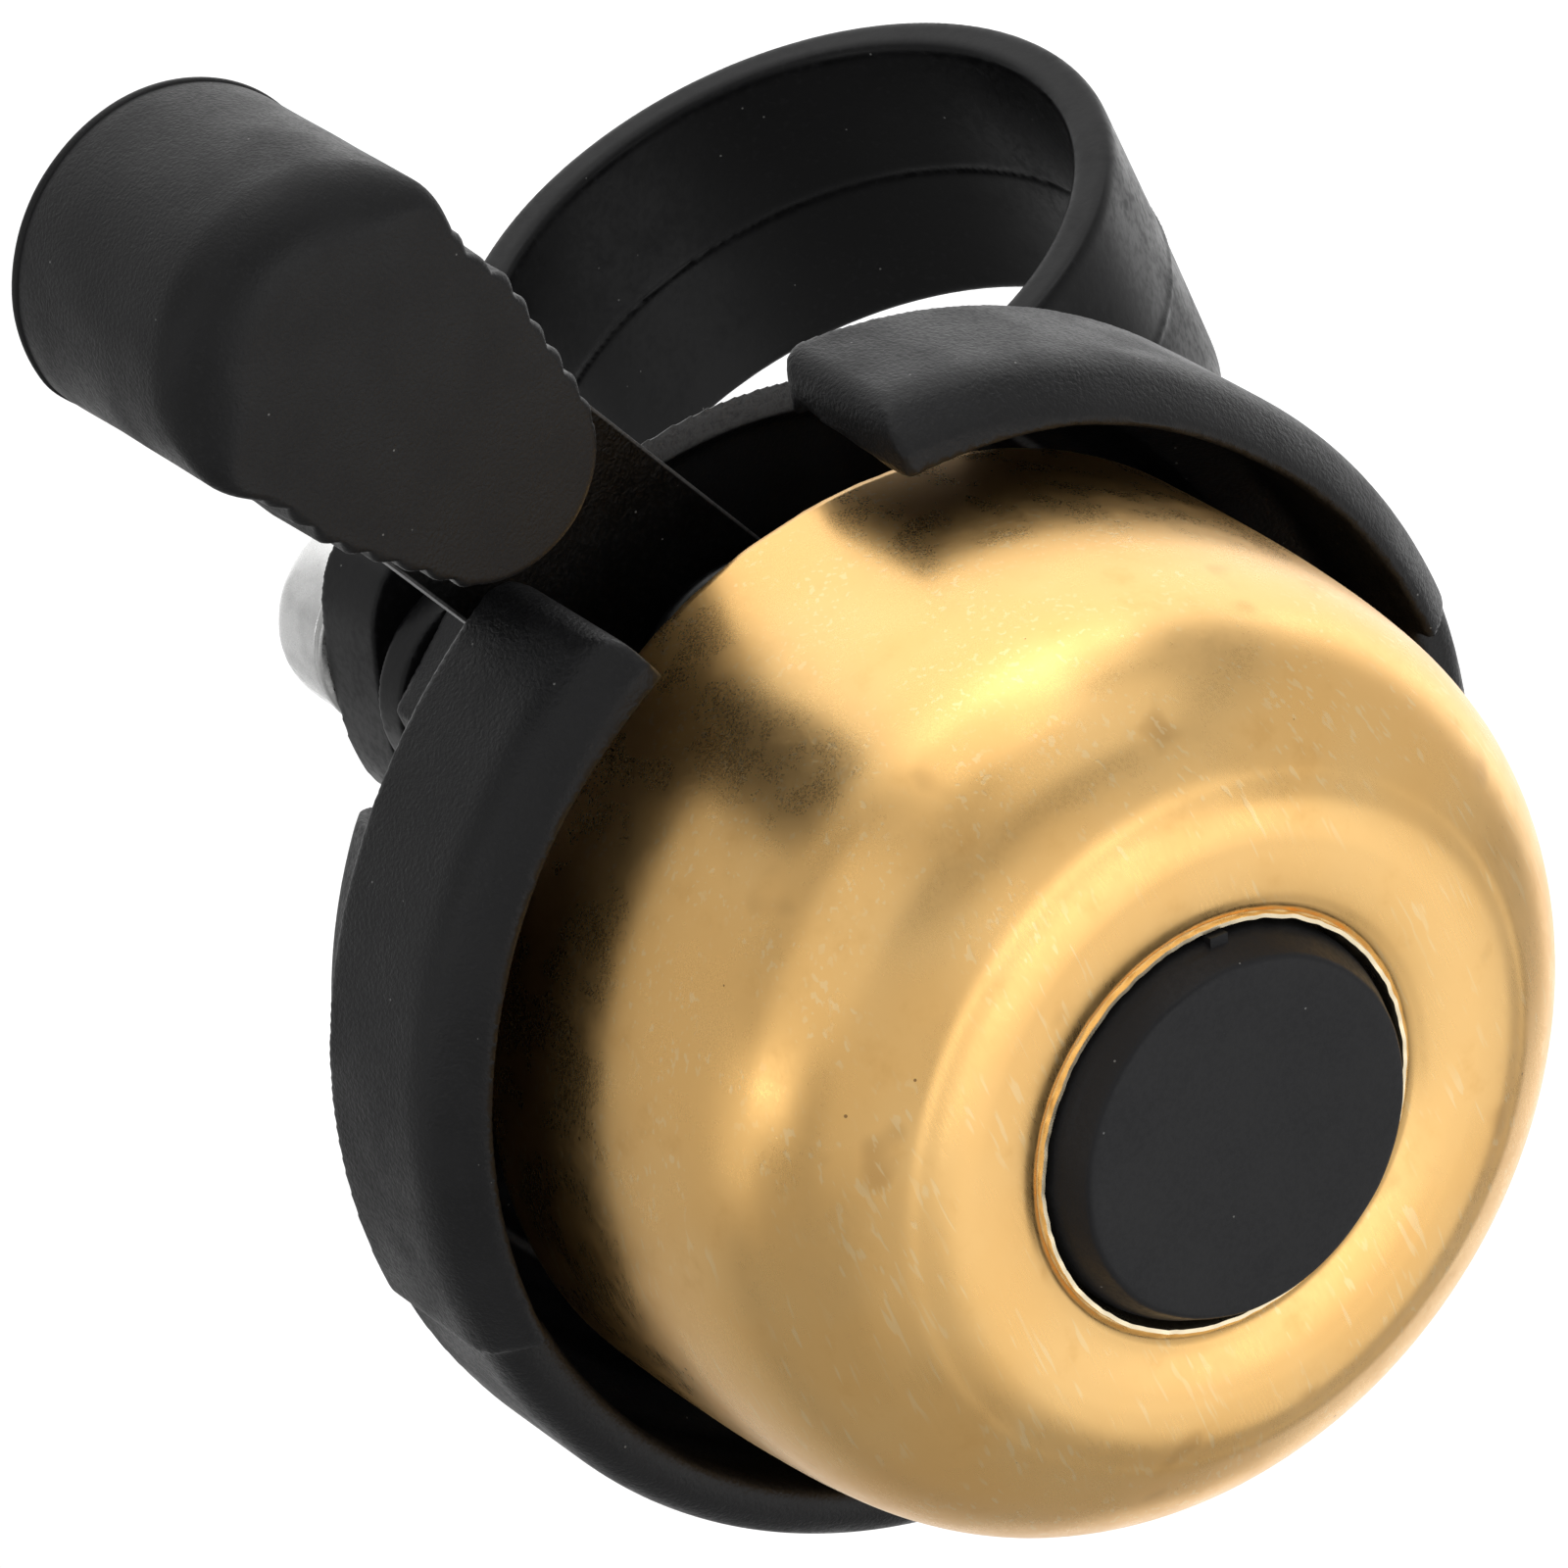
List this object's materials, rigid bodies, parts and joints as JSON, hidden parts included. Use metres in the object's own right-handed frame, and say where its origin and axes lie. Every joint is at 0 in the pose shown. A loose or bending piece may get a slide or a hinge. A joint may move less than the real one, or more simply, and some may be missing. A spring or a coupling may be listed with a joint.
{
  "type": "bicycle bell",
  "caption": "Bicycle bell: pressed brass dome in a black guard base, side thumb lever with a sprung hammer, and a strap clamp for a handlebar.",
  "frame": {"origin": "on the handlebar's centre line, in the middle of the clamp strap's width", "axes": "+X along the handlebar towards the lever, +Z the dome's axis away from the bar, +Y from the bar towards the clamp screw"},
  "size_m": [0.0605, 0.0511, 0.0596],
  "materials": {
    "satin_brass": "brushed, lightly scratched",
    "black_plastic": "fine moulded grain",
    "lever_plastic": "smooth matt",
    "pad_plastic": "soft matt, rubbery",
    "strap_plastic": "semi matt",
    "nylon": "natural nylon",
    "fibre": "red vulcanised fibre",
    "zinc_steel": "zinc plated",
    "screw_steel": "bright zinc plated",
    "spring_steel": "spring steel",
    "hammer_brass": "turned brass",
    "insert_brass": "turned brass"
  },
  "bodies": {
    "bell": {"base": "black_plastic", "bell_dome": "satin_brass", "dome_cap": "black_plastic", "dome_screw": "zinc_steel", "dome_lock_washer": "zinc_steel", "dome_washer": "fibre", "dome_post": "zinc_steel", "pivot_pin": "zinc_steel", "pivot_washer": "zinc_steel", "pivot_clip": "spring_steel", "clamp_band": "strap_plastic", "clamp_screw": "screw_steel", "clamp_washer": "zinc_steel", "clamp_insert": "insert_brass", "return_spring": "spring_steel"},
    "lever": {"lever_arm": "lever_plastic", "thumb_pad": "pad_plastic", "pivot_bush": "nylon", "striker_rivet": "zinc_steel"},
    "striker": {"striker_leaf": "spring_steel", "striker_hammer": "hammer_brass"}
  },
  "joints": [
    {"name": "lever_swing", "type": "hinge", "parent": "bell", "child": "lever", "pos_m": [0.011, 0.0174, 0.0303], "axis": [0, 0, 1], "range_deg": [-40, 0], "stiffness_Nm_per_rad": 0.03, "springref_deg": 20.05, "deforming": ["return_spring"]},
    {"name": "striker_flex", "type": "hinge", "parent": "lever", "child": "striker", "pos_m": [0.00985, 0.01161, 0.0273], "axis": [0, 0, 1], "range_deg": [-5, 5], "stiffness_Nm_per_rad": 0.02}
  ]
}
